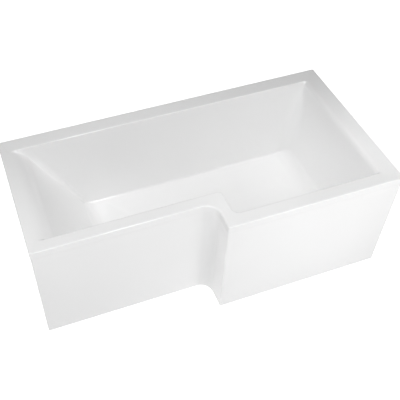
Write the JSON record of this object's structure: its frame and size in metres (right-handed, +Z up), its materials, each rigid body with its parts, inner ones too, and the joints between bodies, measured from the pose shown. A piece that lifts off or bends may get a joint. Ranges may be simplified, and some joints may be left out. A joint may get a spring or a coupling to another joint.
{
  "type": "l-shaped shower bath",
  "caption": "L-shaped acrylic shower bath with a sloped backrest, a wide shower end, a front panel, levelling legs, a lifting plug and an overflow.",
  "frame": {"origin": "on the floor, under the centre of the bath's outer rectangle", "axes": "+X along the bath towards the wide shower end, +Y towards the wall side, +Z up"},
  "size_m": [1.675, 0.85, 0.6],
  "materials": {
    "bath_acrylic": "gloss",
    "panel_acrylic": "gloss",
    "board": "raw chipboard",
    "timber": "sawn",
    "steel": "zinc plated",
    "chrome": "polished",
    "brass": "turned",
    "white_plastic": "satin",
    "black_plastic": "satin",
    "rubber": "matt"
  },
  "bodies": {
    "bath": {"base_board": "board", "bath_shell": "bath_acrylic", "centre_bracket_screws": "steel", "centre_leg_bracket": "steel", "cradle_left": "steel", "cradle_right": "steel", "cradle_screws": "steel", "front_panel": "panel_acrylic", "leg_lock_nuts": "steel", "overflow_banjo": "white_plastic", "overflow_elbow": "white_plastic", "overflow_faceplate": "chrome", "overflow_pipe": "white_plastic", "overflow_pipe_nuts": "white_plastic", "overflow_screw": "chrome", "overflow_seal": "rubber", "panel_clips": "white_plastic", "panel_stay_screws": "steel", "panel_stays": "steel", "plug_cartridge": "brass", "rim_batten_back": "timber", "rim_batten_front_narrow": "timber", "rim_batten_front_wide": "timber", "rim_batten_left": "timber", "rim_batten_right": "timber", "rim_batten_step": "timber", "wall_bracket_screws": "steel", "wall_brackets": "steel", "waste_back_nut": "white_plastic", "waste_flange": "chrome", "waste_lower_seal": "rubber", "waste_upper_seal": "rubber"},
    "plug": {"plug_cap": "chrome", "plug_seal": "rubber"},
    "foot_back_left": {"foot_back_left": "black_plastic"},
    "rod_back_left": {"leg_rod_back_left": "steel"},
    "foot_front_left": {"foot_front_left": "black_plastic"},
    "rod_front_left": {"leg_rod_front_left": "steel"},
    "foot_back_right": {"foot_back_right": "black_plastic"},
    "rod_back_right": {"leg_rod_back_right": "steel"},
    "foot_front_right": {"foot_front_right": "black_plastic"},
    "rod_front_right": {"leg_rod_front_right": "steel"},
    "foot_centre": {"foot_centre": "black_plastic"},
    "rod_centre": {"leg_rod_centre": "steel"}
  },
  "joints": [
    {"name": "plug_lift", "type": "slide", "parent": "bath", "child": "plug", "axis": [0, 0, 1], "range_m": [0, 0.01]},
    {"name": "foot_back_left_level", "type": "slide", "parent": "bath", "child": "foot_back_left", "axis": [0, 0, -1], "range_m": [-0.02, 0.015]},
    {"name": "rod_back_left_turn", "type": "hinge", "parent": "foot_back_left", "child": "rod_back_left", "pos_m": [-0.33697, 0.345, 0.09], "axis": [0, 0, -1], "range_deg": [-4120, 3090]},
    {"name": "foot_front_left_level", "type": "slide", "parent": "bath", "child": "foot_front_left", "axis": [0, 0, -1], "range_m": [-0.02, 0.015]},
    {"name": "rod_front_left_turn", "type": "hinge", "parent": "foot_front_left", "child": "rod_front_left", "pos_m": [-0.33697, -0.195, 0.09], "axis": [0, 0, -1], "range_deg": [-4120, 3090]},
    {"name": "foot_back_right_level", "type": "slide", "parent": "bath", "child": "foot_back_right", "axis": [0, 0, -1], "range_m": [-0.02, 0.015]},
    {"name": "rod_back_right_turn", "type": "hinge", "parent": "foot_back_right", "child": "rod_back_right", "pos_m": [0.4275, 0.345, 0.09], "axis": [0, 0, -1], "range_deg": [-4120, 3090]},
    {"name": "foot_front_right_level", "type": "slide", "parent": "bath", "child": "foot_front_right", "axis": [0, 0, -1], "range_m": [-0.02, 0.015]},
    {"name": "rod_front_right_turn", "type": "hinge", "parent": "foot_front_right", "child": "rod_front_right", "pos_m": [0.4275, -0.345, 0.09], "axis": [0, 0, -1], "range_deg": [-4120, 3090]},
    {"name": "foot_centre_level", "type": "slide", "parent": "bath", "child": "foot_centre", "axis": [0, 0, -1], "range_m": [-0.02, 0.015]},
    {"name": "rod_centre_turn", "type": "hinge", "parent": "foot_centre", "child": "rod_centre", "pos_m": [0.03225, 0.075, 0.09], "axis": [0, 0, -1], "range_deg": [-4120, 3090]}
  ],
  "couplings": [
    {"joint": "rod_back_left_turn", "follows": "foot_back_left_level", "rad_per_m": 3590.4},
    {"joint": "rod_front_left_turn", "follows": "foot_front_left_level", "rad_per_m": 3590.4},
    {"joint": "rod_back_right_turn", "follows": "foot_back_right_level", "rad_per_m": 3590.4},
    {"joint": "rod_front_right_turn", "follows": "foot_front_right_level", "rad_per_m": 3590.4},
    {"joint": "rod_centre_turn", "follows": "foot_centre_level", "rad_per_m": 3590.4}
  ]
}
